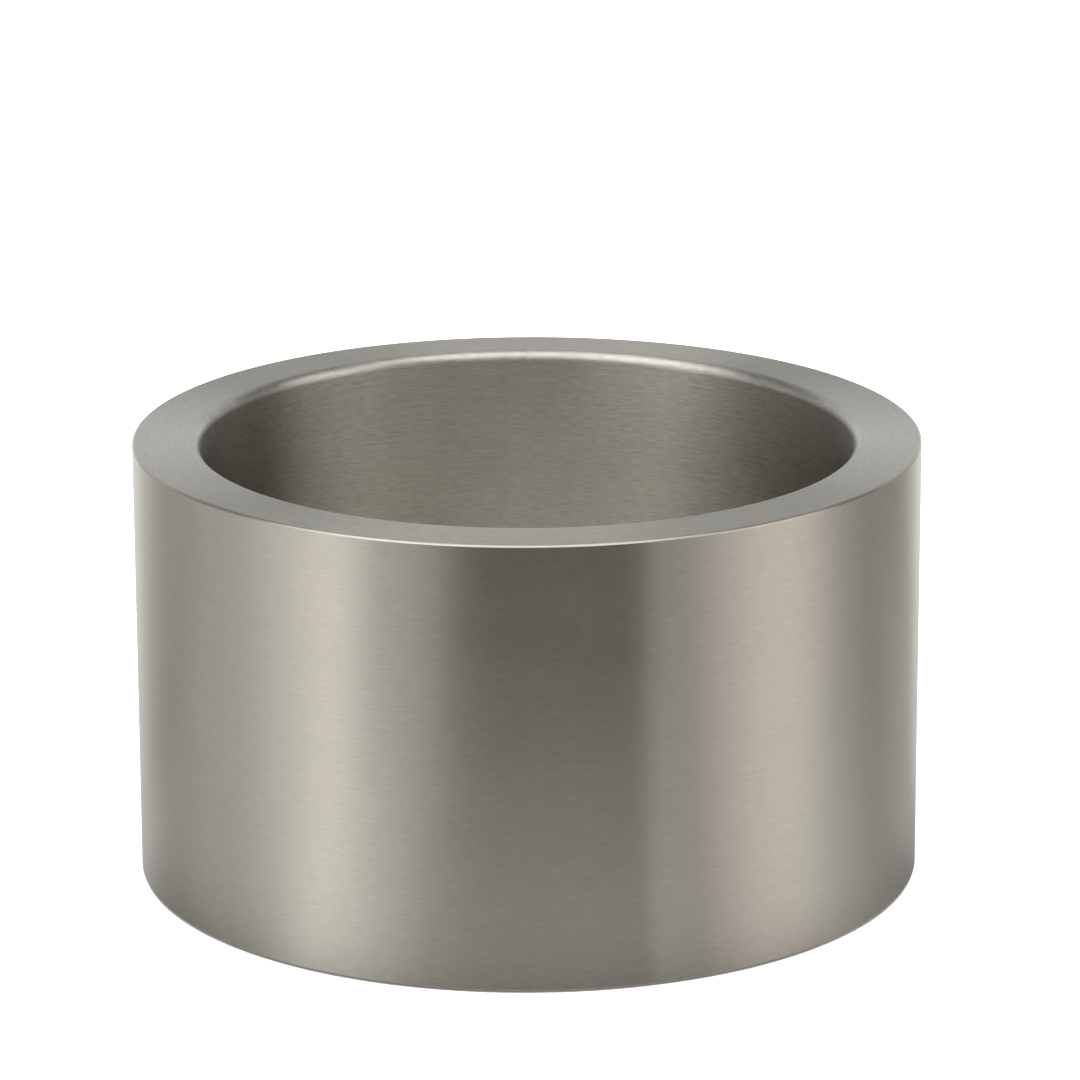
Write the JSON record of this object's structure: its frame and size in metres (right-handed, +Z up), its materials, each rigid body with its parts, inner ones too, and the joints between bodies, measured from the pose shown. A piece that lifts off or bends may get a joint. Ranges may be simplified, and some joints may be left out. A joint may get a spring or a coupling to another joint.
{
  "type": "beverage tub",
  "caption": "Round double-wall stainless steel beverage tub with a straight wall, a wide flat rim, an open ice well and push-in rubber feet.",
  "frame": {"origin": "centre of the circle on which the undersides of the four feet lie, under the tub's axis", "axes": "+Z up along the tub's axis; +Y to the back, where the shell's upright seam is; +X to the right seen from the front"},
  "size_m": [0.292, 0.292, 0.165],
  "materials": {
    "shell_steel": "satin stainless steel with very fine horizontal brushing that runs round the wall",
    "liner_steel": "satin stainless steel with fine concentric brushing on the rim and the floor, faint water marks",
    "base_steel": "plain dull stainless steel sheet with a fine spun grain",
    "weld_steel": "ground and polished weld metal, brighter than the sheet beside it",
    "insulation_foam": "cut closed-cell foam, matt, with a fine cell texture",
    "foot_rubber": "moulded black rubber, matt, slightly scuffed where it meets the table"
  },
  "bodies": {
    "root": {"outer_shell": "shell_steel", "shell_seam_weld": "weld_steel", "inner_liner": "liner_steel", "rim_weld_bead": "weld_steel", "base_plate": "base_steel", "base_weld_bead": "weld_steel", "insulation_sleeve": "insulation_foam", "insulation_pad": "insulation_foam", "foot_front_left": "foot_rubber", "foot_front_right": "foot_rubber", "foot_back_left": "foot_rubber", "foot_back_right": "foot_rubber", "vent_plug": "foot_rubber"}
  },
  "joints": []
}
